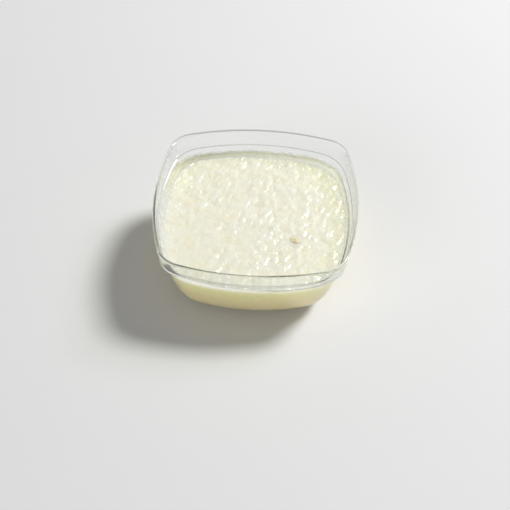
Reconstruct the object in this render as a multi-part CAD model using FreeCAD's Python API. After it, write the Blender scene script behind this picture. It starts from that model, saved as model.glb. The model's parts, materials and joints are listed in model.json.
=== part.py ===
import FreeCAD, Part
import math
import os
import random

# Clear plastic dessert bowl with milk pudding in it.
# Millimetres, +Z up.  The origin is the middle of the underside, and the sides face +X, -X, +Y and -Y.
# Every level of the bowl is a rounded square with bulging sides, and lofts through such rings make its walls.

Vector = FreeCAD.Vector

# ---- driving dimensions of the bowl ----
height = 46.0               # underside to the top of the lip
lip_width = 108.0           # across the middles of two facing sides, outside
side_lean = math.radians(16.2)   # each bulging side turns this far from its middle to its end
lip_corner_radius = 15.6
lip_thickness = 1.5
lip_height = 1.6
lip_overhang = 0.35         # the lip stands out this far from the band below it
lip_rounding = 0.5
band_height = 10.0          # top of the lip to the underside of the ledge
band_taper = 1.05           # the band's foot is this far inside the lip, on each side
band_wall = 1.1
ledge_width = 0.9           # step from the band's foot in to the tub
ledge_bevel = 0.35
tub_wall = 1.1
base_width = 86.0           # where the tub's straight walls would meet the table
tub_corner_radius = 20.0
heel_radius = 17.0          # rounding from the walls to the underside
floor_thickness = 1.4
foot_width = 2.6            # flat ring that the bowl stands on
foot_depth = 0.6            # the panel inside that ring is raised this much
foot_draft = 0.3            # slope of that panel's edge

# ---- driving dimensions of the pudding ----
fill_level = 29.8           # mean height of the pudding's surface
lump_count = 90             # soft lumps and hollows over the surface
lump_radius = 10.0
lump_relief = 0.22
surface_step = 5.0          # spacing of the points that the surface passes through
lump_seed = 7
film_rise = 2.4             # smear of pudding left on the wall above the surface
film_foot = 1.0             # its thickness where it leaves the surface
film_edge = 0.25            # its thickness at the upper edge

# ---- steps round the curved parts of the section ----
heel_steps = 5
lip_steps = 2

# ---- sizes that follow ----
lip_half = lip_width / 2
base_half = base_width / 2
lip_foot = height - lip_height
ledge_level = height - band_height
shelf_level = ledge_level + tub_wall
tub_top_half = lip_half - band_taper - ledge_width
draft = math.atan2(tub_top_half - base_half, ledge_level)


def outline(half, corner_radius, level):
    """Rounded square with bulging sides: four side arcs joined by four tangent corner arcs."""
    centre = (half - corner_radius) / (1 + math.tan(side_lean / 2))
    across = centre + corner_radius * math.sin(side_lean)
    along = centre + corner_radius * math.cos(side_lean)
    side_start = Vector(-across, along, level)
    side_end = Vector(across, along, level)
    diagonal = centre + corner_radius * math.sqrt(0.5)
    corner_middle = Vector(diagonal, diagonal, level)
    corner_end = Vector(along, across, level)
    side = Part.Arc(side_start, Vector(0.0, half, level), side_end).toShape()
    corner = Part.Arc(side_end, corner_middle, corner_end).toShape()
    edges = []
    for quarter in range(4):
        for edge in (side, corner):
            edges.append(edge.rotated(Vector(0, 0, 0), Vector(0, 0, 1), -90 * quarter))
    return Part.Wire(edges)


def loft(rings):
    """Solid whose walls run straight from each ring to the next."""
    return Part.makeLoft(rings, True, True)


def lip_ring(inset, level):
    """The lip's outline moved inward."""
    return outline(lip_half - inset, lip_corner_radius - inset, level)


def tub_half(inset, level):
    """Half width of the tub at a level, moved inward square to its wall."""
    return base_half + (tub_top_half - base_half) * level / ledge_level - inset / math.cos(draft)


def tub_ring(inset, level):
    """The tub's outline at a level, moved inward square to its wall."""
    return outline(tub_half(inset, level), tub_corner_radius - inset, level)


def heel_run(radius):
    """How far a heel of this radius reaches in from the corner between the wall and the floor."""
    return radius * math.tan((math.pi / 2 - draft) / 2)


def heel_rings(inset, bottom):
    """Rings round the heel, all with the same centres, from the flat floor up to the straight wall."""
    radius = heel_radius - inset
    flat_half = tub_half(inset, bottom) - heel_run(radius)
    rings = []
    for step in range(heel_steps + 1):
        angle = (math.pi / 2 - draft) * step / heel_steps
        half = flat_half + radius * math.sin(angle)
        corner_radius = tub_corner_radius - inset - radius * (math.cos(draft) - math.sin(angle))
        rings.append(outline(half, corner_radius, bottom + radius * (1 - math.cos(angle))))
    return rings


def lip_turn():
    """Rise and sideways shift round the lip's rounded edge, as pairs from its start."""
    angles = [math.pi / 2 * step / lip_steps for step in range(lip_steps + 1)]
    return [(lip_rounding * math.sin(angle), lip_rounding * (1 - math.cos(angle))) for angle in angles]


def tub(inset, bottom, top):
    """The tub's form between two levels, moved inward by an inset, with its heel rounded."""
    return loft(heel_rings(inset, bottom) + [tub_ring(inset, top)])


def make_outside():
    """The bowl filled in: tub, band with a bevelled foot, and a lip with a rounded upper edge."""
    band = loft([
        lip_ring(band_taper + ledge_bevel, ledge_level),
        lip_ring(band_taper, ledge_level + ledge_bevel),
        lip_ring(lip_overhang, lip_foot),
    ])
    lip = [lip_ring(0.0, lip_foot)]
    for rise, shift in lip_turn():
        lip.append(lip_ring(shift, height - lip_rounding + rise))
    return tub(0.0, 0.0, ledge_level).fuse([band, loft(lip)])


def tub_inside():
    """The space in the tub, from its floor to the shelf behind the ledge."""
    return tub(tub_wall, floor_thickness, shelf_level)


def make_inside():
    """The space in the bowl: the tub, and the wider mouth inside the band and the lip."""
    mouth = [lip_ring(band_taper + band_wall, shelf_level)]
    for rise, shift in lip_turn():
        mouth.append(lip_ring(lip_thickness - shift, height - lip_rounding + rise))
    return tub_inside().fuse(loft(mouth))


def foot_panel():
    """Space under the bowl, inside the ring that it stands on."""
    half = base_half - heel_run(heel_radius) - foot_width
    corner_radius = tub_corner_radius - heel_radius * math.cos(draft)
    rings = [(0.0, 0.0), (foot_draft, foot_depth)]
    return loft([outline(half - inset, corner_radius - inset, level) for inset, level in rings])


def make_bowl():
    """The clear bowl: lip, band, ledge, drafted tub with a rounded heel, and a foot ring."""
    return make_outside().cut(make_inside()).cut(foot_panel())


def make_lumps():
    """Places of the soft lumps and hollows, each with its sign."""
    generator = random.Random(lump_seed)
    lumps = []
    for number in range(lump_count):
        x = generator.uniform(-lip_half, lip_half)
        y = generator.uniform(-lip_half, lip_half)
        lumps.append((x, y, 1 if number % 2 else -1))
    return lumps


def surface_height(x, y, lumps):
    """Height of the pudding's surface: the level plus soft lumps and hollows."""
    rise = 0.0
    for lump_x, lump_y, sign in lumps:
        distance = math.hypot(x - lump_x, y - lump_y) / lump_radius
        rise += sign * lump_relief * math.exp(-distance ** 2)
    return fill_level + rise


def space_above_surface():
    """Solid above the uneven surface, wider than the bowl on all sides."""
    lumps = make_lumps()
    count = 2 * math.ceil(lip_half / surface_step) + 1
    start = -surface_step * (count - 1) / 2
    ticks = [start + index * surface_step for index in range(count)]
    rows = [[Vector(x, y, surface_height(x, y, lumps)) for x in ticks] for y in ticks]
    surface = Part.BSplineSurface()
    surface.interpolate(rows)
    return surface.toShape().extrude(Vector(0, 0, height))


def space_inside_film():
    """Space that the film leaves free: it follows the wall and widens to the film's thin edge."""
    edge_level = fill_level + film_rise
    slope = (film_foot - film_edge) / film_rise
    low = edge_level - 2 * film_rise
    high = edge_level + film_rise
    insets = [tub_wall + film_edge + slope * (edge_level - level) for level in (low, high)]
    return loft([tub_ring(insets[0], low), tub_ring(insets[1], high)])


def make_pudding():
    """The pudding: it fills the tub to an uneven surface and climbs its wall in a thin film."""
    edge_level = fill_level + film_rise
    lid = Part.makeBox(lip_width, lip_width, height, Vector(-lip_half, -lip_half, edge_level))
    air = space_above_surface().common(space_inside_film())
    return tub_inside().cut(lid).cut(air)


def export(name, shape):
    """Write one node as a STEP file."""
    shape.exportStep(os.path.join("parts", name + ".step"))


def main():
    os.makedirs("parts", exist_ok=True)
    export("bowl", make_bowl())
    export("pudding", make_pudding())


main()
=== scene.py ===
"""Clear plastic dessert bowl filled with mastic milk pudding, dressed for the studio.

The bowl is a rounded square with bulging sides: a drafted tub with a rounded heel, a narrow ledge, a
plain band above it and a rounded lip.  The pudding fills the tub, carries a wet, lumpy skin, and climbs
the wall in a thin smear.  Every level of both is a rounded square, so the pieces are built from such
rings, bridged one to the next.
"""

import json
import logging
import math
from dataclasses import dataclass
from enum import Enum
from typing import Callable, List, Sequence, Tuple

import bmesh
import bpy
from mathutils import Matrix, Vector, noise

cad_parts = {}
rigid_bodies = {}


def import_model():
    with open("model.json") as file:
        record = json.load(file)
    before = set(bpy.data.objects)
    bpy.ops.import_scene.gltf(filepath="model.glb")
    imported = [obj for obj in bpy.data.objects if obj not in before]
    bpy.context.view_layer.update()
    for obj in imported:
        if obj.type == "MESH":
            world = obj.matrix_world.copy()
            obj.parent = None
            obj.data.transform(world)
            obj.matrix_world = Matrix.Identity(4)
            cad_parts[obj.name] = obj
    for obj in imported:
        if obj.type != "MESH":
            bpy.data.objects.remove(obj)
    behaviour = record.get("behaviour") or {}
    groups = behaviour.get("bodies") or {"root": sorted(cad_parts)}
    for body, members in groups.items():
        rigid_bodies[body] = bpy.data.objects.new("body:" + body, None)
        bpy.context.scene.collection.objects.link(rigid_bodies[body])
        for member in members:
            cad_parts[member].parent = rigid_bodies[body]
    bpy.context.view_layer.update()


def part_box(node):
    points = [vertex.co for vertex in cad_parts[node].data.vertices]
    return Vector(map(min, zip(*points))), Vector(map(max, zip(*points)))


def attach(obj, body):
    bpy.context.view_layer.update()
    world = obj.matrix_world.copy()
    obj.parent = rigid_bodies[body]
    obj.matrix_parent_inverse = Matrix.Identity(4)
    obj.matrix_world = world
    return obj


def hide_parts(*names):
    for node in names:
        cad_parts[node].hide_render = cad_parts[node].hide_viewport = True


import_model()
bowl_low, bowl_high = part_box("bowl")

logging.basicConfig(level=logging.INFO, format="%(name)s: %(message)s")
log = logging.getLogger("dessert")

MM = 0.001
WHITE = (1.0, 1.0, 1.0, 1.0)
UPRIGHT = (0.0, 0.0, 1.0)
LIGHT_AZIMUTH = math.radians(33.0)

# Size of the speck that a ring is spun from, distance at which points merge, and how near to a level a
# point counts as on it.
SPECK_SIZE = 0.01 * MM
MERGE_REACH = 0.002 * MM
LEVEL_REACH = 0.01 * MM

# Names of what the points carry: the number of their ring, the strength of the relief, how far up the
# smear they lie, and whether they touch the bowl's wall or face the inside of the smear.
RING_LAYER = "ring"
SURFACE_GROUP = "surface"
FILM_SHARE = "film"
WALL_SIDE = "wall_side"
FILM_SIDE = "film_side"

Colour = Tuple[float, float, float]
Stretch = Tuple[float, float, float]
Span = Tuple[float, float]
Socket = bpy.types.NodeSocket


class Slot(Enum):
    """Material slots of the record."""

    CLEAR_PLASTIC = "clear_plastic"
    PUDDING = "pudding"


class Node(Enum):
    """Solids of the CAD model."""

    BOWL = "bowl"
    PUDDING = "pudding"


class LampFace(Enum):
    """Shape of a lamp's face."""

    SQUARE = "SQUARE"
    DISK = "DISK"


# --------------------------------------------------------------------------------------------------
# Rings and the modelling steps made on them
# --------------------------------------------------------------------------------------------------


@dataclass(frozen=True)
class Ring:
    """A level rounded square with bulging sides.

    Args:
        half: from the middle out to the middle of a side, in metres.
        corner_radius: radius of the four corner arcs, in metres.
        level: height above the table, in metres.
        lean: angle by which a bulging side turns from its middle to its end, in radians.
    """

    half: float
    corner_radius: float
    level: float
    lean: float

    def corner_centre(self) -> float:
        """Distance of a corner arc's centre from the two middle planes."""
        return (self.half - self.corner_radius) / (1 + math.tan(self.lean / 2))

    def side_setback(self) -> float:
        """Distance by which the centre of a side's arc lies behind the middle of the bowl."""
        return self.corner_centre() * (1 / math.tan(self.lean) - 1)

    def outward(self, place: Vector) -> Vector:
        """Level direction square to the outline.

        Args:
            place: a point on the outline or near it.

        Returns:
            The direction, pointing out of the bowl.
        """
        x, y = abs(place.x), abs(place.y)
        centre, setback = self.corner_centre(), self.side_setback()
        if x > y:
            to_side = Vector((x + setback, y, 0.0))
        else:
            to_side = Vector((x, y + setback, 0.0))
        to_corner = Vector((x - centre, y - centre, 0.0))
        across, along = sorted((to_side.x, to_side.y))
        chosen = to_corner if math.atan2(across, along) > self.lean else to_side
        chosen.normalize()
        return Vector((math.copysign(chosen.x, place.x), math.copysign(chosen.y, place.y), 0.0))

    def start(self) -> Vector:
        """First point of the ring's quarter.

        Returns:
            The place where the rear side begins, at the left.
        """
        centre = self.corner_centre()
        return Vector((
            -centre - self.corner_radius * math.sin(self.lean),
            centre + self.corner_radius * math.cos(self.lean),
            self.level,
        ))

    def quarter(self) -> List[Tuple[Vector, float]]:
        """The quarter's two arcs: the rear side and the corner to its right.

        Returns:
            The centre and the angle of each.
        """
        centre = self.corner_centre()
        return [
            (Vector((0.0, -self.side_setback(), self.level)), 2 * self.lean),
            (Vector((centre, centre, self.level)), math.pi / 2 - 2 * self.lean),
        ]


class Workbench:
    """One mesh in edit mode, with the steps that shape it."""

    def __init__(self, name: str) -> None:
        """Open a new mesh object and empty it.

        Args:
            name: name of the piece.
        """
        bpy.ops.object.select_all(action="DESELECT")
        bpy.ops.mesh.primitive_plane_add(size=MM, location=(0.0, 0.0, 0.0))
        self.piece: bpy.types.Object = bpy.context.object
        self.piece.name = name
        self.piece.data.name = name
        bpy.ops.object.mode_set(mode="EDIT")
        bpy.ops.mesh.select_mode(type="VERT")
        bpy.ops.mesh.select_all(action="SELECT")
        bpy.ops.mesh.delete(type="VERT")
        self.mesh().verts.layers.int.new(RING_LAYER)
        self.rings = 0

    def mesh(self) -> bmesh.types.BMesh:
        """The mesh being edited."""
        return bmesh.from_edit_mesh(self.piece.data)

    def update(self) -> None:
        """Show the edited mesh's new state to the next operator."""
        bmesh.update_edit_mesh(self.piece.data)

    def add_ring(self, ring: Ring, side_steps: int, corner_steps: int) -> int:
        """Spin one point along a quarter of a ring.

        Args:
            ring: the ring to draw.
            side_steps: edges along a side.
            corner_steps: edges round a corner.

        Returns:
            The number that the ring's points carry.
        """
        self.rings += 1
        bpy.ops.mesh.select_all(action="DESELECT")
        bpy.ops.mesh.primitive_plane_add(size=SPECK_SIZE, location=ring.start())
        bpy.ops.mesh.merge(type="CENTER")
        for (centre, angle), steps in zip(ring.quarter(), (side_steps, corner_steps)):
            bpy.ops.mesh.spin(steps=steps, angle=angle, center=centre, axis=UPRIGHT)
        bpy.ops.mesh.select_linked()
        drawn = self.mesh()
        layer = drawn.verts.layers.int[RING_LAYER]
        for vertex in drawn.verts:
            if vertex.select:
                vertex[layer] = self.rings
        self.update()
        return self.rings

    def repeat_round(self) -> None:
        """Copy the quarter three times round the upright axis and join the copies."""
        bpy.ops.mesh.select_all(action="SELECT")
        copies = 3
        turn = copies * math.pi / 2
        bpy.ops.mesh.spin(steps=copies, angle=turn, dupli=True, center=(0.0, 0.0, 0.0), axis=UPRIGHT)
        bpy.ops.mesh.select_all(action="SELECT")
        bpy.ops.mesh.remove_doubles(threshold=MERGE_REACH)

    def select_rings(self, numbers: Sequence[int]) -> None:
        """Select the edges of some rings and nothing else.

        Args:
            numbers: the rings' numbers.
        """
        bpy.ops.mesh.select_all(action="DESELECT")
        drawn = self.mesh()
        layer = drawn.verts.layers.int[RING_LAYER]
        wanted = set(numbers)
        for edge in drawn.edges:
            first, second = (vertex[layer] for vertex in edge.verts)
            edge.select_set(first == second and first in wanted)
        self.update()

    def bridge(self, first: int, second: int) -> None:
        """Join two rings with a wall.

        Args:
            first: number of one ring.
            second: number of the other.
        """
        bpy.ops.mesh.select_mode(type="EDGE")
        self.select_rings((first, second))
        bpy.ops.mesh.bridge_edge_loops()
        bpy.ops.mesh.select_mode(type="VERT")

    def close(self, number: int) -> None:
        """Fill a ring with one flat face.

        Args:
            number: the ring's number.
        """
        bpy.ops.mesh.select_mode(type="EDGE")
        self.select_rings((number,))
        bpy.ops.mesh.edge_face_add()
        bpy.ops.mesh.select_mode(type="VERT")

    def close_with_grid(self, number: int, span: int) -> None:
        """Fill a ring with a square net that starts in the middle of a corner.

        Args:
            number: the ring's number.
            span: faces along each side of the net.
        """
        bpy.ops.mesh.select_mode(type="EDGE")
        self.select_rings((number,))
        self.mesh().select_history.clear()
        bpy.ops.mesh.select_mode(type="VERT")
        drawn = self.mesh()
        layer = drawn.verts.layers.int[RING_LAYER]
        loop = [vertex for vertex in drawn.verts if vertex[layer] == number]
        drawn.select_history.add(max(loop, key=lambda vertex: vertex.co.x + vertex.co.y))
        self.update()
        bpy.ops.mesh.fill_grid(span=span, offset=0)

    def skin(self, rings: Sequence[Ring], side_steps: int, corner_steps: int) -> List[int]:
        """Draw rings and join each to the next.

        Args:
            rings: the rings in order along the section.
            side_steps: edges along each side.
            corner_steps: edges round each corner.

        Returns:
            The numbers of the rings.
        """
        numbers = [self.add_ring(ring, side_steps, corner_steps) for ring in rings]
        for first, second in zip(numbers, numbers[1:]):
            self.bridge(first, second)
        self.repeat_round()
        return numbers

    def weigh(self, group: str, weight: Callable[[Vector], float]) -> None:
        """Give every point a weight in a vertex group, by its place.

        Args:
            group: the vertex group's name.
            weight: gives a point's weight from its place.
        """
        index = self.piece.vertex_groups.new(name=group).index
        drawn = self.mesh()
        layer = drawn.verts.layers.deform.verify()
        for vertex in drawn.verts:
            value = weight(vertex.co)
            if value > 0.0:
                vertex[layer][index] = min(1.0, value)
        self.update()

    def finish(self, smooth_below: float) -> bpy.types.Object:
        """Turn all faces outward and leave edit mode.

        Args:
            smooth_below: edges that turn less than this are shaded smooth, in radians.

        Returns:
            The finished piece.
        """
        bpy.ops.mesh.select_all(action="SELECT")
        bpy.ops.mesh.normals_make_consistent(inside=False)
        bpy.ops.object.mode_set(mode="OBJECT")
        bpy.ops.object.shade_smooth_by_angle(angle=smooth_below)
        return self.piece


# --------------------------------------------------------------------------------------------------
# Finishes
# --------------------------------------------------------------------------------------------------


class NodeTable:
    """Short ways to place and join the nodes of one material."""

    def __init__(self, name: str) -> None:
        """Start an empty material.

        Args:
            name: the material's name.
        """
        self.material = bpy.data.materials.new(name)
        self.material.use_nodes = True
        self.tree = self.material.node_tree
        self.tree.nodes.clear()
        self.output = self.tree.nodes.new("ShaderNodeOutputMaterial")
        self.coordinates = self.tree.nodes.new("ShaderNodeTexCoord").outputs["Object"]

    def node(self, kind: str, **settings: object) -> bpy.types.Node:
        """Add a node and set some of its properties.

        Args:
            kind: Blender's name for the node.
            settings: properties and their values.

        Returns:
            The new node.
        """
        made = self.tree.nodes.new(kind)
        for key, value in settings.items():
            setattr(made, key, value)
        return made

    def join(self, source: Socket, target: Socket) -> None:
        """Link an output to an input."""
        self.tree.links.new(source, target)

    def grain(self, per_metre: float, detail: float = 2.0, stretch: Stretch = (1.0, 1.0, 1.0),
              turn: float = 0.0) -> Socket:
        """Soft noise through the piece.

        Args:
            per_metre: how many features fit in a metre.
            detail: octaves of finer noise.
            stretch: how much the pattern is squeezed along each axis.
            turn: turn about the upright axis, in radians.

        Returns:
            The noise's value.
        """
        mapping = self.node("ShaderNodeMapping")
        mapping.inputs["Scale"].default_value = stretch
        mapping.inputs["Rotation"].default_value = (0.0, 0.0, turn)
        made = self.node("ShaderNodeTexNoise")
        made.inputs["Scale"].default_value = per_metre
        made.inputs["Detail"].default_value = detail
        self.join(self.coordinates, mapping.inputs["Vector"])
        self.join(mapping.outputs["Vector"], made.inputs["Vector"])
        return made.outputs["Fac"]

    def window(self, value: Socket, low: float, high: float, at_low: float = 0.0,
               at_high: float = 1.0) -> Socket:
        """Carry a value from one range to another with a soft start and end.

        Args:
            value: the value to carry.
            low: where the range starts.
            high: where it ends.
            at_low: result at and below the start.
            at_high: result at and above the end.

        Returns:
            The carried value.
        """
        made = self.node("ShaderNodeMapRange", interpolation_type="SMOOTHSTEP")
        made.inputs["From Min"].default_value = low
        made.inputs["From Max"].default_value = high
        made.inputs["To Min"].default_value = at_low
        made.inputs["To Max"].default_value = at_high
        self.join(value, made.inputs["Value"])
        return made.outputs["Result"]

    def blend(self, share: Socket, first: object, second: object) -> Socket:
        """Mix two colours.

        Args:
            share: how much of the second colour.
            first: a colour, or the output that gives one.
            second: a colour, or the output that gives one.

        Returns:
            The mixed colour.
        """
        made = self.node("ShaderNodeMix", data_type="RGBA")
        self.join(share, made.inputs["Factor"])
        for value, socket in ((first, made.inputs["A"]), (second, made.inputs["B"])):
            if isinstance(value, Socket):
                self.join(value, socket)
            else:
                socket.default_value = (*value, 1.0)
        return made.outputs["Result"]

    def height(self) -> Socket:
        """Height above the table.

        Returns:
            The height, in metres.
        """
        split = self.node("ShaderNodeSeparateXYZ")
        self.join(self.coordinates, split.inputs["Vector"])
        return split.outputs["Z"]

    def toward(self, azimuth: float) -> Socket:
        """How far a place lies from the bowl's axis in a level direction.

        Args:
            azimuth: the direction, from +X towards +Y, in radians.

        Returns:
            The distance in metres, negative behind the axis.
        """
        made = self.node("ShaderNodeVectorMath", operation="DOT_PRODUCT")
        made.inputs[1].default_value = (math.cos(azimuth), math.sin(azimuth), 0.0)
        self.join(self.coordinates, made.inputs[0])
        return made.outputs["Value"]

    def own(self, name: str) -> Socket:
        """Value that the piece's points carry under a name."""
        return self.node("ShaderNodeAttribute", attribute_name=name).outputs["Fac"]

    def add(self, first: Socket, second: Socket, share: float) -> Socket:
        """Add a share of a second value to a first.

        Args:
            first: the value that counts in full.
            second: the value that counts by its share.
            share: the share; a negative one takes away.

        Returns:
            The sum.
        """
        made = self.node("ShaderNodeMath", operation="MULTIPLY_ADD")
        self.join(second, made.inputs[0])
        made.inputs[1].default_value = share
        self.join(first, made.inputs[2])
        return made.outputs["Value"]

    def larger(self, first: Socket, second: Socket) -> Socket:
        """Pick the larger of two values.

        Args:
            first: one value.
            second: the other.

        Returns:
            The larger value.
        """
        made = self.node("ShaderNodeMath", operation="MAXIMUM")
        self.join(first, made.inputs[0])
        self.join(second, made.inputs[1])
        return made.outputs["Value"]

    def above(self, value: Socket, limit: float) -> Socket:
        """Test whether a value lies above a limit.

        Args:
            value: the value.
            limit: the limit.

        Returns:
            One above the limit, and nought elsewhere.
        """
        made = self.node("ShaderNodeMath", operation="GREATER_THAN")
        self.join(value, made.inputs[0])
        made.inputs[1].default_value = limit
        return made.outputs["Value"]

    def relief(self, height: Socket, distance: float, strength: float) -> Socket:
        """Bump from a height.

        Args:
            height: the height's value, 0 to 1.
            distance: height of the bump in metres.
            strength: share of it that shows.

        Returns:
            The bent normal.
        """
        made = self.node("ShaderNodeBump")
        made.inputs["Distance"].default_value = distance
        made.inputs["Strength"].default_value = strength
        self.join(height, made.inputs["Height"])
        return made.outputs["Normal"]


@dataclass(frozen=True)
class ClearPlastic:
    """Thin, water-clear moulded plastic with faint flow waves and handling marks.

    Args:
        tint: colour that light takes on as it bends through the plastic.
        shade_tint: colour of the light that passes on to the table and the pudding.
        trapped_tint: colour of light that leaves the plastic after many bounces inside.
        bounces_inside: count of bounces past which light goes straight on.
    """

    tint: Colour = (0.975, 0.985, 0.98)
    shade_tint: Colour = (0.92, 0.93, 0.895)
    trapped_tint: Colour = (0.82, 0.84, 0.81)
    bounces_inside: float = 2.5
    bending: float = 1.5
    roughness: float = 0.012
    smudged_roughness: float = 0.05
    smudges_per_metre: float = 35.0
    smudge_detail: float = 4.0
    smudge_stretch: Stretch = (1.0, 1.0, 2.0)
    smudge_span: Span = (0.55, 0.8)
    waves_per_metre: float = 60.0
    wave_detail: float = 1.0
    wave_stretch: Stretch = (1.0, 1.0, 0.35)
    wave_height: float = 0.02 * MM
    wave_strength: float = 0.5

    def make(self) -> bpy.types.Material:
        """Build the material.

        Returns:
            The material: bent light for the eye, straight light for shadows and for what is trapped.
        """
        table = NodeTable("clear_plastic")
        shader = table.node("ShaderNodeBsdfPrincipled")
        shader.inputs["Base Color"].default_value = (*self.tint, 1.0)
        shader.inputs["Transmission Weight"].default_value = 1.0
        shader.inputs["IOR"].default_value = self.bending
        smudges = table.grain(self.smudges_per_metre, self.smudge_detail, stretch=self.smudge_stretch)
        rough = table.window(smudges, *self.smudge_span, self.roughness, self.smudged_roughness)
        table.join(rough, shader.inputs["Roughness"])
        waves = table.grain(self.waves_per_metre, self.wave_detail, stretch=self.wave_stretch)
        table.join(table.relief(waves, self.wave_height, self.wave_strength), shader.inputs["Normal"])

        path = table.node("ShaderNodeLightPath")
        unbent = table.larger(path.outputs["Is Shadow Ray"], path.outputs["Is Diffuse Ray"])
        trapped = table.above(path.outputs["Ray Depth"], self.bounces_inside)
        passing = table.node("ShaderNodeBsdfTransparent")
        table.join(table.blend(trapped, self.shade_tint, self.trapped_tint), passing.inputs["Color"])
        either = table.node("ShaderNodeMixShader")
        table.join(table.larger(unbent, trapped), either.inputs[0])
        table.join(shader.outputs[0], either.inputs[1])
        table.join(passing.outputs[0], either.inputs[2])
        table.join(either.outputs[0], table.output.inputs["Surface"])
        return table.material


@dataclass(frozen=True)
class MilkPudding:
    """Wet, cloudy milk pudding: cream on its skin, yellower where it is pressed against the wall, partly
    its own tone and partly painted shade.

    Args:
        surface_level: mean height of the skin, in metres.
        paling_span: heights beside the skin between which the pudding at the wall turns paler.
        painted_light_span: distances towards the light between which the smear's painted light, milky,
            turns to its painted shade, yellow.
        lit_side_span: distances towards the light between which the smear, kept solid where light falls on
            it, starts to fade where it is shaded; this fading is painted light on its shaded part.
    """

    surface_level: float
    cream: Colour = (0.880, 0.858, 0.715)
    milky: Colour = (0.870, 0.862, 0.745)
    warm: Colour = (0.882, 0.844, 0.685)
    milky_patches_per_metre: float = 110.0
    milky_patch_span: Span = (0.38, 0.66)
    warm_patches_per_metre: float = 130.0
    warm_patch_detail: float = 1.5
    warm_patch_turn: float = 0.6
    warm_patch_span: Span = (0.45, 0.72)
    wall_upper: Colour = (0.965, 0.87, 0.54)
    # Darker lower wall colour: painted shade towards the floor.
    wall_lower_painted_shade: Colour = (0.85, 0.73, 0.44)
    wall_film: Colour = (0.93, 0.90, 0.68)
    paling_span: Span = (-2.5 * MM, 3.5 * MM)
    # The smear's painted shade (yellow) and painted light (milky), chosen by which side faces the lamp.
    film: Colour = (0.98, 0.95, 0.44)
    painted_lit_film: Colour = (0.70, 0.72, 0.66)
    painted_light_span: Span = (-40.0 * MM, -20.0 * MM)
    streaks_per_metre: float = 140.0
    streak_detail: float = 3.0
    streak_stretch: Stretch = (1.0, 1.0, 0.3)
    streak_share: float = 0.5
    lit_side_span: Span = (-30.0 * MM, -12.0 * MM)
    lit_side_share: float = 0.9
    fading_span: Span = (0.4, 1.1)
    bending: float = 1.38
    scatter_depth: float = 9.5 * MM
    film_scatter: float = 0.8
    film_depth: float = 0.7 * MM
    roughness: float = 0.32
    wet_roughness: float = 0.16
    wet_patches_per_metre: float = 260.0
    wet_patch_span: Span = (0.4, 0.65)
    wet_coat: float = 0.35
    coat_roughness: float = 0.12
    coat_bending: float = 1.4
    curds_per_metre: float = 700.0
    curd_height: float = 0.12 * MM
    curd_strength: float = 0.06

    def skin_colour(self, table: NodeTable) -> Socket:
        """Cream, with milky and warm patches.

        Args:
            table: the material's nodes.

        Returns:
            The skin's colour.
        """
        patches = table.window(table.grain(self.milky_patches_per_metre), *self.milky_patch_span)
        clouds = table.grain(self.warm_patches_per_metre, self.warm_patch_detail, turn=self.warm_patch_turn)
        skin = table.blend(patches, self.cream, self.milky)
        return table.blend(table.window(clouds, *self.warm_patch_span), skin, self.warm)

    def wall_colour(self, table: NodeTable, height: Socket) -> Socket:
        """Yellow at the wall, with painted shade that darkens it towards the floor, and pale at the smear.

        Args:
            table: the material's nodes.
            height: height above the table.

        Returns:
            The colour seen through the bowl's wall.
        """
        # Painted shade: the wall's colour darkens from its upper tone to a darker one towards the floor.
        wall = table.blend(table.window(height, 0.0, self.surface_level), self.wall_lower_painted_shade, self.wall_upper)
        start, end = (self.surface_level + shift for shift in self.paling_span)
        return table.blend(table.window(height, start, end), wall, self.wall_film)

    def film_colour(self, table: NodeTable) -> Socket:
        """Painted light and shade on the smear: yellow where it is shaded, milky where the light falls on
        it.

        Args:
            table: the material's nodes.

        Returns:
            The colour of the smear's inner side.
        """
        lit = table.window(table.toward(LIGHT_AZIMUTH), *self.painted_light_span, 1.0, 0.0)
        return table.blend(lit, self.film, self.painted_lit_film)

    def cover(self, table: NodeTable) -> Socket:
        """How solid the pudding is: full below, and ragged near the smear's upper edge; as painted light,
        the smear fades only where it is shaded and stays solid where light falls on it.

        Args:
            table: the material's nodes.

        Returns:
            The share that covers what lies behind.
        """
        streaks = table.grain(self.streaks_per_metre, self.streak_detail, stretch=self.streak_stretch)
        # Painted light: the smear stays solid on the side where light falls on it, and fades on its shaded
        # side.
        lit_side = table.window(table.toward(LIGHT_AZIMUTH), *self.lit_side_span, 1.0, 0.0)
        climbed = table.add(table.own(FILM_SHARE), streaks, self.streak_share)
        climbed = table.add(climbed, lit_side, -self.lit_side_share)
        return table.window(climbed, *self.fading_span, 1.0, 0.0)

    def make(self) -> bpy.types.Material:
        """Build the material.

        Returns:
            The material.
        """
        table = NodeTable("milk_pudding")
        height = table.height()
        colour = table.blend(table.own(WALL_SIDE), self.skin_colour(table), self.wall_colour(table, height))
        colour = table.blend(table.own(FILM_SIDE), colour, self.film_colour(table))
        film_top = self.surface_level + self.film_depth
        scatter = table.window(height, self.surface_level, film_top, 1.0, self.film_scatter)
        wet_patches = table.grain(self.wet_patches_per_metre)
        wet = table.window(wet_patches, *self.wet_patch_span, self.roughness, self.wet_roughness)
        curds = table.relief(table.grain(self.curds_per_metre), self.curd_height, self.curd_strength)

        shader = table.node("ShaderNodeBsdfPrincipled")
        shader.inputs["IOR"].default_value = self.bending
        shader.inputs["Coat Weight"].default_value = self.wet_coat
        shader.inputs["Coat Roughness"].default_value = self.coat_roughness
        shader.inputs["Coat IOR"].default_value = self.coat_bending
        shader.inputs["Subsurface Radius"].default_value = (1.0, 1.0, 1.0)
        shader.inputs["Subsurface Scale"].default_value = self.scatter_depth
        table.join(colour, shader.inputs["Base Color"])
        table.join(self.cover(table), shader.inputs["Alpha"])
        table.join(scatter, shader.inputs["Subsurface Weight"])
        table.join(wet, shader.inputs["Roughness"])
        table.join(curds, shader.inputs["Normal"])
        table.join(shader.outputs[0], table.output.inputs["Surface"])
        return table.material


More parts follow.
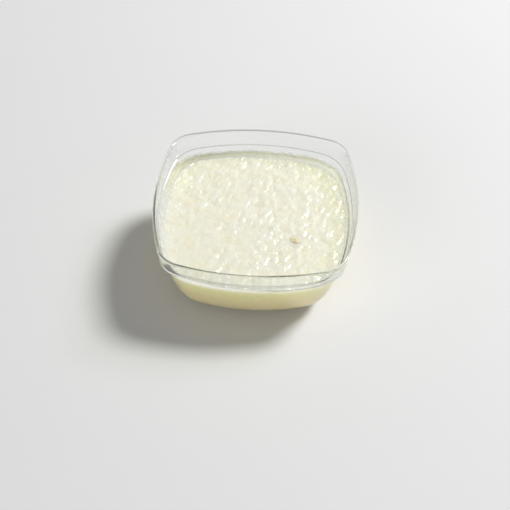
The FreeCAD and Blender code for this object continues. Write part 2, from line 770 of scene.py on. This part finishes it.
@dataclass(frozen=True)
class ToastedSkin:
    """Small golden scrap of cooked milk skin."""

    pale: Colour = (0.86, 0.79, 0.54)
    brown: Colour = (0.74, 0.64, 0.37)
    spots_per_metre: float = 700.0
    spot_detail: float = 3.0
    spot_span: Span = (0.4, 0.62)
    roughness: float = 0.5
    scatter: float = 0.5
    scatter_reach: Colour = (1.0, 0.6, 0.3)
    scatter_depth: float = 0.6 * MM
    creases_per_metre: float = 1500.0
    crease_height: float = 0.05 * MM
    crease_strength: float = 0.5

    def make(self) -> bpy.types.Material:
        """Build the material.

        Returns:
            The material.
        """
        table = NodeTable("toasted_skin")
        shader = table.node("ShaderNodeBsdfPrincipled")
        shader.inputs["Roughness"].default_value = self.roughness
        shader.inputs["Subsurface Weight"].default_value = self.scatter
        shader.inputs["Subsurface Radius"].default_value = self.scatter_reach
        shader.inputs["Subsurface Scale"].default_value = self.scatter_depth
        spots = table.window(table.grain(self.spots_per_metre, self.spot_detail), *self.spot_span)
        table.join(table.blend(spots, self.pale, self.brown), shader.inputs["Base Color"])
        creases = table.grain(self.creases_per_metre)
        table.join(table.relief(creases, self.crease_height, self.crease_strength), shader.inputs["Normal"])
        table.join(shader.outputs[0], table.output.inputs["Surface"])
        return table.material


@dataclass(frozen=True)
class StudioPaper:
    """Plain pale matt studio floor."""

    colour: Colour = (0.79, 0.79, 0.79)
    fibre: Colour = (0.775, 0.775, 0.775)
    fibres_per_metre: float = 25.0
    fibre_detail: float = 3.0
    roughness: float = 0.85
    shine: float = 0.1

    def make(self) -> bpy.types.Material:
        """Build the material.

        Returns:
            The material.
        """
        table = NodeTable("studio_paper")
        shader = table.node("ShaderNodeBsdfPrincipled")
        shader.inputs["Roughness"].default_value = self.roughness
        shader.inputs["Specular IOR Level"].default_value = self.shine
        fibres = table.grain(self.fibres_per_metre, self.fibre_detail)
        table.join(table.blend(fibres, self.colour, self.fibre), shader.inputs["Base Color"])
        table.join(shader.outputs[0], table.output.inputs["Surface"])
        return table.material


# --------------------------------------------------------------------------------------------------
# The bowl
# --------------------------------------------------------------------------------------------------


@dataclass
class Bowl:
    """The clear bowl, with the sizes that its pudding shares."""

    width: float = bowl_high.x - bowl_low.x
    height: float = bowl_high.z - bowl_low.z
    lean: float = math.radians(16.2)
    lip_corner_radius: float = 15.6 * MM
    lip_thickness: float = 1.5 * MM
    lip_height: float = 1.6 * MM
    lip_overhang: float = 0.35 * MM
    lip_undercut: float = 0.15 * MM
    lip_rounding: float = 0.12 * MM
    lip_inner_rounding: float = 0.75 * MM
    band_height: float = 10.0 * MM
    band_taper: float = 1.05 * MM
    band_wall: float = 1.1 * MM
    ledge_width: float = 0.9 * MM
    ledge_bevel: float = 0.35 * MM
    tub_wall: float = 1.1 * MM
    base_width: float = 86.0 * MM
    tub_corner_radius: float = 20.0 * MM
    heel_radius: float = 17.0 * MM
    floor_thickness: float = 1.4 * MM
    foot_width: float = 2.6 * MM
    foot_depth: float = 0.6 * MM
    foot_draft: float = 0.3 * MM
    heel_steps: int = 14
    turn_steps: int = 4
    side_steps: int = 22
    corner_steps: int = 16
    smooth_below: float = math.radians(32.0)

    def ledge_level(self) -> float:
        """Height of the ledge's underside."""
        return self.height - self.band_height

    def shelf_level(self) -> float:
        """Height of the shelf inside, behind the ledge."""
        return self.ledge_level() + self.tub_wall

    def tub_top_half(self) -> float:
        """Half width of the tub under the ledge."""
        return self.width / 2 - self.band_taper - self.ledge_width

    def draft(self) -> float:
        """Angle of the tub's wall from upright."""
        return math.atan2(self.tub_top_half() - self.base_width / 2, self.ledge_level())

    def lip_ring(self, inset: float, level: float) -> Ring:
        """The lip's outline moved inward, at a level."""
        return Ring(self.width / 2 - inset, self.lip_corner_radius - inset, level, self.lean)

    def tub_half(self, inset: float, level: float) -> float:
        """Half width of the tub at a level, moved inward square to its wall."""
        rise = (self.tub_top_half() - self.base_width / 2) * level / self.ledge_level()
        return self.base_width / 2 + rise - inset / math.cos(self.draft())

    def tub_ring(self, inset: float, level: float) -> Ring:
        """The tub's outline at a level, moved inward square to its wall."""
        return Ring(self.tub_half(inset, level), self.tub_corner_radius - inset, level, self.lean)

    def heel_run(self, radius: float) -> float:
        """How far a heel of some radius reaches in from the corner between wall and floor."""
        return radius * math.tan((math.pi / 2 - self.draft()) / 2)

    def heel_rings(self, inset: float, bottom: float) -> List[Ring]:
        """Rings round the heel, from the flat floor up to the straight wall.

        Args:
            inset: distance inward from the outside.
            bottom: height of the flat floor.

        Returns:
            The rings in order.
        """
        radius = self.heel_radius - inset
        flat_half = self.tub_half(inset, bottom) - self.heel_run(radius)
        corner = self.tub_corner_radius - inset
        rings = []
        for step in range(self.heel_steps + 1):
            angle = (math.pi / 2 - self.draft()) * step / self.heel_steps
            rings.append(Ring(
                flat_half + radius * math.sin(angle),
                corner - radius * (math.cos(self.draft()) - math.sin(angle)),
                bottom + radius * (1 - math.cos(angle)),
                self.lean,
            ))
        return rings

    def turn(self, radius: float) -> List[Tuple[float, float]]:
        """Shift and rise round a quarter turn of some radius, as pairs, from upright to level."""
        angles = [math.pi / 2 * step / self.turn_steps for step in range(self.turn_steps + 1)]
        return [(radius * (1 - math.cos(angle)), radius * math.sin(angle)) for angle in angles]

    def foot_rings(self) -> List[Ring]:
        """The raised panel under the bowl.

        Returns:
            The rings from the panel's rim down to the ring that the bowl stands on.
        """
        half = self.base_width / 2 - self.heel_run(self.heel_radius) - self.foot_width
        corner = self.tub_corner_radius - self.heel_radius * math.cos(self.draft())
        return [
            Ring(half - self.foot_draft, corner - self.foot_draft, self.foot_depth, self.lean),
            Ring(half, corner, 0.0, self.lean),
        ]

    def outer_rings(self) -> List[Ring]:
        """Outside of the bowl.

        Returns:
            The rings from the table up to the top of the lip.
        """
        ledge, foot_of_lip = self.ledge_level(), self.height - self.lip_height
        rings = self.heel_rings(0.0, 0.0)
        rings.append(self.tub_ring(0.0, ledge))
        for shift, rise in self.turn(self.ledge_bevel)[::-1]:
            rings.append(self.lip_ring(self.band_taper + shift, ledge + self.ledge_bevel - rise))
        rings.append(self.lip_ring(self.lip_overhang, foot_of_lip))
        rings.append(self.lip_ring(0.0, foot_of_lip + self.lip_undercut))
        for shift, rise in self.turn(self.lip_rounding):
            rings.append(self.lip_ring(shift, self.height - self.lip_rounding + rise))
        return rings

    def inner_rings(self) -> List[Ring]:
        """Inside of the bowl.

        Returns:
            The rings from the top of the lip down to the floor.
        """
        shelf = self.shelf_level()
        rings = []
        rounding = self.lip_inner_rounding
        for shift, rise in self.turn(rounding)[::-1]:
            rings.append(self.lip_ring(self.lip_thickness - shift, self.height - rounding + rise))
        bevel = self.ledge_bevel
        for shift, rise in self.turn(bevel):
            rings.append(self.lip_ring(self.band_taper + self.band_wall + shift, shelf + bevel - rise))
        rings.append(self.tub_ring(self.tub_wall, shelf))
        rings.extend(self.heel_rings(self.tub_wall, self.floor_thickness)[::-1])
        return rings

    def build(self) -> bpy.types.Object:
        """Model the bowl as one closed shell of its real thickness.

        Returns:
            The bowl.
        """
        bench = Workbench("bowl_shell")
        rings = self.foot_rings() + self.outer_rings() + self.inner_rings()
        numbers = bench.skin(rings, self.side_steps, self.corner_steps)
        bench.close(numbers[0])
        bench.close(numbers[-1])
        piece = bench.finish(self.smooth_below)
        piece.data.materials.append(ClearPlastic().make())
        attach(piece, "root")
        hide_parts(Node.BOWL.value)
        return piece


# --------------------------------------------------------------------------------------------------
# The pudding
# --------------------------------------------------------------------------------------------------


@dataclass
class Lumps:
    """One layer of relief over the skin.

    Args:
        size: size of one lump, in metres.
        relief: whole height of the layer, in metres.
        stretch: how long a lump is along the layer's own second axis, beside its width.
        turn: turn of that axis about the upright, in radians.
    """

    size: float
    relief: float
    stretch: float = 1.0
    turn: float = 0.0


@dataclass
class Pudding:
    """The pudding in the tub: its body, its lumpy skin, and the smear that it leaves on the wall."""

    bowl: Bowl
    fill_level: float = 29.8 * MM
    film_rise: float = 7.2 * MM
    film_rise_left: float = 7.0 * MM
    film_rise_rear: float = 4.8 * MM
    film_rise_right: float = 4.6 * MM
    film_rise_front: float = 1.4 * MM
    film_raggedness: float = 0.5 * MM
    film_least_rise: float = 0.6 * MM
    film_waves: float = 4.0
    film_teeth: float = 14.0
    film_teeth_share: float = 0.5
    film_seeds: Tuple[float, float] = (1.5, 4.0)
    film_foot: float = 0.45 * MM
    film_edge: float = 0.25 * MM
    film_hollow: int = 5
    film_steps: Tuple[float, ...] = (1.0, 0.6, 0.3, 0.1, 0.0)
    into_wall: float = 0.15 * MM
    edge_liveliness: float = 0.3
    calm_edge: float = 0.9 * MM
    calm_place: Tuple[float, float] = (-36.0 * MM, -22.0 * MM)
    calm_reach: float = 24.0 * MM
    calm_share: float = 0.55
    patches_per_metre: float = 60.0
    patch_seed: float = 3.0
    patch_least: float = 0.4
    patch_gain: float = 0.8
    guide_step: Tuple[float, float] = (7.0 * MM, 3.0 * MM)
    side_steps: int = 200
    corner_steps: int = 80
    heel_steps: int = 6
    smooth_below: float = math.radians(60.0)

    def body_rings(self) -> List[Ring]:
        """Outside of the pudding, which reaches just into the bowl's wall so that no air shows between.

        Returns:
            The rings from its underside up to the smear's upper edge.
        """
        inset = self.bowl.tub_wall - self.into_wall
        bottom = self.bowl.floor_thickness - self.into_wall
        fine = self.bowl.heel_rings(inset, bottom)
        step = max(1, len(fine) // self.heel_steps)
        rings = fine[::step]
        if rings[-1] is not fine[-1]:
            rings.append(fine[-1])
        top = self.fill_level + self.film_rise
        rings.append(self.bowl.tub_ring(inset, self.fill_level))
        rings.append(self.bowl.tub_ring(inset, top))
        return rings

    def film_rings(self) -> List[Ring]:
        """Inner side of the smear, which thickens near its foot.

        Returns:
            The rings from its upper edge down to the skin.
        """
        rings = []
        for share in self.film_steps:
            thickness = self.film_edge + (self.film_foot - self.film_edge) * (1 - share) ** self.film_hollow
            level = self.fill_level + self.film_rise * share
            rings.append(self.bowl.tub_ring(self.bowl.tub_wall + thickness, level))
        return rings

    def local_rise(self, place: Vector) -> float:
        """How far the smear climbs the wall.

        Args:
            place: a point round the tub.

        Returns:
            The climb above the skin's mean height, in metres.
        """
        reach = math.hypot(place.x, place.y)
        right, rear = place.x / reach, place.y / reach
        rises = (
            (self.film_rise_right, right),
            (self.film_rise_left, -right),
            (self.film_rise_rear, rear),
            (self.film_rise_front, -rear),
        )
        rise = sum(height * max(0.0, share) ** 2 for height, share in rises)
        wave_seed, tooth_seed = self.film_seeds
        waves = noise.noise(Vector((self.film_waves * right, self.film_waves * rear, wave_seed)))
        teeth = noise.noise(Vector((self.film_teeth * right, self.film_teeth * rear, tooth_seed)))
        ragged = waves + self.film_teeth_share * teeth
        return max(self.film_least_rise, min(self.film_rise, rise + self.film_raggedness * ragged))

    def settle_film(self, bench: Workbench, first_film_ring: int) -> None:
        """Slide the smear down the wall to its local height.

        Args:
            bench: the pudding's mesh.
            first_film_ring: number of the ring at the smear's outer upper edge.
        """
        drawn = bench.mesh()
        names = (FILM_SHARE, WALL_SIDE, FILM_SIDE)
        for name in names:
            drawn.verts.layers.float.new(name)
        climbed, wall_side, film_side = (drawn.verts.layers.float[name] for name in names)
        layer = drawn.verts.layers.int[RING_LAYER]
        ring = self.bowl.tub_ring(self.bowl.tub_wall, self.fill_level)
        for vertex in drawn.verts:
            vertex[wall_side] = float(vertex[layer] <= first_film_ring)
            if vertex[layer] < first_film_ring or vertex.co.z <= self.fill_level + LEVEL_REACH:
                continue
            vertex[film_side] = float(vertex[layer] > first_film_ring)
            vertex[climbed] = (vertex.co.z - self.fill_level) / self.film_rise
            share = self.local_rise(vertex.co) / self.film_rise
            drop = (vertex.co.z - self.fill_level) * (1 - share)
            inward = drop * math.tan(self.bowl.draft())
            vertex.co -= ring.outward(vertex.co) * inward + Vector((0.0, 0.0, drop))
        bench.update()

    def liveliness(self, place: Vector) -> float:
        """How much of the relief shows: none on the walls, less along the rim and at the left.

        Args:
            place: a point of the pudding.

        Returns:
            The share of the relief, from nought to a little over one.
        """
        if abs(place.z - self.fill_level) > LEVEL_REACH:
            return 0.0
        half = self.bowl.tub_half(self.bowl.tub_wall, self.fill_level)
        room = half - self.film_foot - self.reach(place, self.bowl.tub_ring(0.0, self.fill_level))
        edge = min(1.0, max(self.edge_liveliness, room / self.calm_edge))
        spot = Vector((place.x * self.patches_per_metre, place.y * self.patches_per_metre, self.patch_seed))
        patch = self.patch_least + self.patch_gain * (0.5 + 0.5 * noise.noise(spot))
        calm_x, calm_y = self.calm_place
        apart = math.hypot(place.x - calm_x, place.y - calm_y) / self.calm_reach
        return edge * (1.0 - self.calm_share * math.exp(-apart * apart)) * patch

    def reach(self, place: Vector, ring: Ring) -> float:
        """How far out a place lies.

        Args:
            place: a point of the pudding.
            ring: the tub's outline at its level.

        Returns:
            The half width of the rounded square through the place, in metres.
        """
        x, y = abs(place.x), abs(place.y)
        centre = ring.corner_centre()
        along, across = max(x, y), min(x, y)
        to_side = along + across * across / (2 * (ring.half + ring.side_setback()))
        if across <= centre:
            return to_side
        to_corner = centre + math.hypot(x - centre, y - centre) + (ring.half - centre - ring.corner_radius)
        return max(to_side, to_corner)

    def layers(self) -> List[Lumps]:
        """The skin's layers of relief.

        Returns:
            The layers, broad ones first.
        """
        return [
            Lumps(size=13.0 * MM, relief=0.9 * MM),
            Lumps(size=5.5 * MM, relief=0.9 * MM, stretch=1.6, turn=0.9),
            Lumps(size=3.0 * MM, relief=1.9 * MM, stretch=1.6, turn=-0.45),
            Lumps(size=1.3 * MM, relief=0.33 * MM, stretch=1.3, turn=-0.45),
        ]

    def press(self, piece: bpy.types.Object, number: int, layer: Lumps) -> None:
        """Raise one layer of relief on the skin.

        Args:
            piece: the pudding.
            number: the layer's place in the order.
            layer: the layer.
        """
        bpy.ops.object.select_all(action="DESELECT")
        step_x, step_y = self.guide_step
        bpy.ops.object.empty_add(location=(step_x * number, step_y * number, 0.0))
        guide = bpy.context.object
        guide.rotation_euler = (0.0, 0.0, layer.turn)
        guide.scale = (layer.size, layer.size * layer.stretch, layer.size)
        texture = bpy.data.textures.new(f"relief_{number}", "CLOUDS")
        texture.noise_scale = 1.0
        bpy.context.view_layer.update()
        piece.select_set(True)
        bpy.context.view_layer.objects.active = piece
        modifier = piece.modifiers.new(f"relief_{number}", "DISPLACE")
        modifier.texture = texture
        modifier.texture_coords = "OBJECT"
        modifier.texture_coords_object = guide
        modifier.direction = "Z"
        modifier.strength = layer.relief
        modifier.vertex_group = SURFACE_GROUP
        bpy.ops.object.modifier_apply(modifier=modifier.name)
        bpy.data.objects.remove(guide)
        bpy.data.textures.remove(texture)

    def build(self) -> bpy.types.Object:
        """Model the pudding as one closed body.

        Returns:
            The pudding.
        """
        bench = Workbench("milk_pudding")
        body = self.body_rings()
        numbers = bench.skin(body + self.film_rings(), self.side_steps, self.corner_steps)
        self.settle_film(bench, numbers[len(body) - 1])
        bench.close(numbers[0])
        bench.close_with_grid(numbers[-1], self.side_steps + self.corner_steps)
        bench.weigh(SURFACE_GROUP, self.liveliness)
        piece = bench.finish(self.smooth_below)
        for number, layer in enumerate(self.layers()):
            self.press(piece, number, layer)
        piece.data.materials.append(MilkPudding(self.fill_level).make())
        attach(piece, "root")
        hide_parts(Node.PUDDING.value)
        return piece


@dataclass
class SkinScrap:
    """Small toasted scrap lying in the pudding's skin."""

    pudding: Pudding
    middle: Tuple[float, float] = (21.5 * MM, -13.2 * MM)
    length: float = 5.9 * MM
    width: float = 3.0 * MM
    thickness: float = 0.7 * MM
    turn: float = math.radians(-32.0)
    lift: float = 0.15 * MM
    fold_size: float = 1.1 * MM
    fold_height: float = 1.1 * MM
    round_steps: int = 20
    level_steps: int = 12

    def build(self) -> bpy.types.Object:
        """Model the scrap as a bent, pinched leaf.

        Returns:
            The scrap.
        """
        bpy.ops.object.select_all(action="DESELECT")
        place = (*self.middle, self.pudding.fill_level + self.lift)
        bpy.ops.mesh.primitive_uv_sphere_add(
            segments=self.round_steps, ring_count=self.level_steps, radius=0.5, location=place)
        piece = bpy.context.object
        piece.name = piece.data.name = "skin_scrap"
        piece.scale = (self.length, self.width, self.thickness)
        piece.rotation_euler = (0.0, 0.0, self.turn)
        bpy.ops.object.transform_apply(location=True, rotation=True, scale=True)
        texture = bpy.data.textures.new("scrap_relief", "CLOUDS")
        texture.noise_scale = self.fold_size
        modifier = piece.modifiers.new("scrap_relief", "DISPLACE")
        modifier.texture = texture
        modifier.strength = self.fold_height
        bpy.ops.object.modifier_apply(modifier=modifier.name)
        bpy.data.textures.remove(texture)
        bpy.ops.object.shade_smooth()
        piece.data.materials.append(ToastedSkin().make())
        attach(piece, "root")
        return piece


# --------------------------------------------------------------------------------------------------
# Studio
# --------------------------------------------------------------------------------------------------


@dataclass
class Studio:
    """Plain pale floor, soft light from the right and behind, pale surroundings, and the camera.

    Args:
        lamp_share: brightness that the main lamp gives a white card lying on the table.
        fill_share: brightness that the reflector gives a white card turned square to it.
        room_share: brightness that the surroundings give a white card.
        seen_brightness: brightness of the surroundings themselves.
    """

    floor_radius: float = 4.0
    floor_border: float = 0.4
    lamp_azimuth: float = LIGHT_AZIMUTH
    lamp_elevation: float = math.radians(45.0)
    lamp_distance: float = 2.2
    lamp_size: float = 0.62
    lamp_share: float = 0.72
    fill_azimuth: float = math.radians(-130.0)
    fill_elevation: float = math.radians(14.0)
    fill_distance: float = 1.8
    fill_size: float = 1.1
    fill_share: float = 0.33
    room_share: float = 0.22
    seen_brightness: float = 0.60
    camera_place: Tuple[float, float, float] = (17.76 * MM, -460.68 * MM, 522.58 * MM)
    camera_azimuth: float = math.radians(2.203)
    camera_elevation: float = math.radians(48.485)
    camera_roll: float = math.radians(1.038)
    camera_lens: float = 88.85
    camera_film: float = 36.0

    def build_floor(self) -> None:
        """Lay the floor: a wide disc with a flat border."""
        bpy.ops.object.select_all(action="DESELECT")
        bpy.ops.mesh.primitive_circle_add(vertices=96, radius=self.floor_radius, fill_type="NGON")
        floor = bpy.context.object
        floor.name = floor.data.name = "studio_floor"
        bpy.ops.object.mode_set(mode="EDIT")
        bpy.ops.mesh.select_all(action="SELECT")
        bpy.ops.mesh.inset(thickness=self.floor_border, depth=0.0)
        bpy.ops.object.mode_set(mode="OBJECT")
        floor.data.materials.append(StudioPaper().make())

    def hang(self, name: str, azimuth: float, elevation: float, distance: float, size: float, share: float,
             face: LampFace, mirrored: bool) -> None:
        """Hang one soft lamp and aim it at the bowl.

        Args:
            name: the lamp's name.
            azimuth: its direction from the bowl, from +X towards +Y, in radians.
            elevation: its height above the table as an angle, in radians.
            distance: its distance in metres.
            size: its width in metres.
            share: brightness that it gives a white card turned square to it.
            face: shape of its face.
            mirrored: whether gloss and clear plastic show the lamp itself.
        """
        towards = Vector((
            math.cos(azimuth) * math.cos(elevation),
            math.sin(azimuth) * math.cos(elevation),
            math.sin(elevation),
        ))
        light = bpy.data.lights.new(name, "AREA")
        light.shape = face.value
        light.size = size
        light.energy = share * (math.pi * distance) ** 2
        lamp = bpy.data.objects.new(name, light)
        lamp.location = towards * distance
        lamp.rotation_mode = "QUATERNION"
        lamp.rotation_quaternion = towards.to_track_quat("Z", "Y")
        lamp.visible_glossy = mirrored
        lamp.visible_transmission = mirrored
        bpy.context.scene.collection.objects.link(lamp)

    def build_room(self) -> None:
        """Give the surroundings a soft light, and a pale look of their own."""
        world = bpy.data.worlds.new("room")
        world.use_nodes = True
        tree = world.node_tree
        tree.nodes.clear()
        output = tree.nodes.new("ShaderNodeOutputWorld")
        lit = tree.nodes.new("ShaderNodeBackground")
        lit.inputs["Color"].default_value = WHITE
        lit.inputs["Strength"].default_value = self.room_share
        seen = tree.nodes.new("ShaderNodeBackground")
        seen.inputs["Color"].default_value = WHITE
        seen.inputs["Strength"].default_value = self.seen_brightness
        path = tree.nodes.new("ShaderNodeLightPath")
        share = path.outputs["Is Camera Ray"]
        for name in ("Is Glossy Ray", "Is Transmission Ray"):
            either = tree.nodes.new("ShaderNodeMath")
            either.operation = "MAXIMUM"
            tree.links.new(share, either.inputs[0])
            tree.links.new(path.outputs[name], either.inputs[1])
            share = either.outputs[0]
        mix = tree.nodes.new("ShaderNodeMixShader")
        tree.links.new(share, mix.inputs[0])
        tree.links.new(lit.outputs[0], mix.inputs[1])
        tree.links.new(seen.outputs[0], mix.inputs[2])
        tree.links.new(mix.outputs[0], output.inputs["Surface"])
        bpy.context.scene.world = world

    def build_camera(self) -> None:
        """Set up the camera."""
        lens = bpy.data.cameras.new("camera")
        lens.lens = self.camera_lens
        lens.sensor_width = self.camera_film
        lens.dof.use_dof = False
        camera = bpy.data.objects.new("camera", lens)
        turn = (
            Matrix.Rotation(self.camera_azimuth, 4, "Z")
            @ Matrix.Rotation(math.pi / 2 - self.camera_elevation, 4, "X")
            @ Matrix.Rotation(self.camera_roll, 4, "Z")
        )
        camera.matrix_world = Matrix.Translation(self.camera_place) @ turn
        bpy.context.scene.collection.objects.link(camera)
        bpy.context.scene.camera = camera

    def build(self) -> None:
        """Set up the whole studio."""
        bpy.context.scene.view_settings.view_transform = "Standard"
        self.build_floor()
        self.hang("main_lamp", self.lamp_azimuth, self.lamp_elevation, self.lamp_distance,
                  self.lamp_size, self.lamp_share / math.sin(self.lamp_elevation), LampFace.DISK, True)
        self.hang("front_reflector", self.fill_azimuth, self.fill_elevation, self.fill_distance,
                  self.fill_size, self.fill_share, LampFace.SQUARE, False)
        self.build_room()
        self.build_camera()


def report(piece: bpy.types.Object) -> None:
    """Log a piece's size and its count of triangles.

    Args:
        piece: the piece.
    """
    triangles = sum(len(face.vertices) - 2 for face in piece.data.polygons)
    size = tuple(round(length / MM, 2) for length in piece.dimensions)
    log.info("%s: %s mm, %d triangles", piece.name, size, triangles)


def main() -> None:
    """Build the dessert and the studio."""
    bowl = Bowl()
    report(bowl.build())
    pudding = Pudding(bowl)
    report(pudding.build())
    report(SkinScrap(pudding).build())
    Studio().build()


if __name__ == "__main__":
    main()
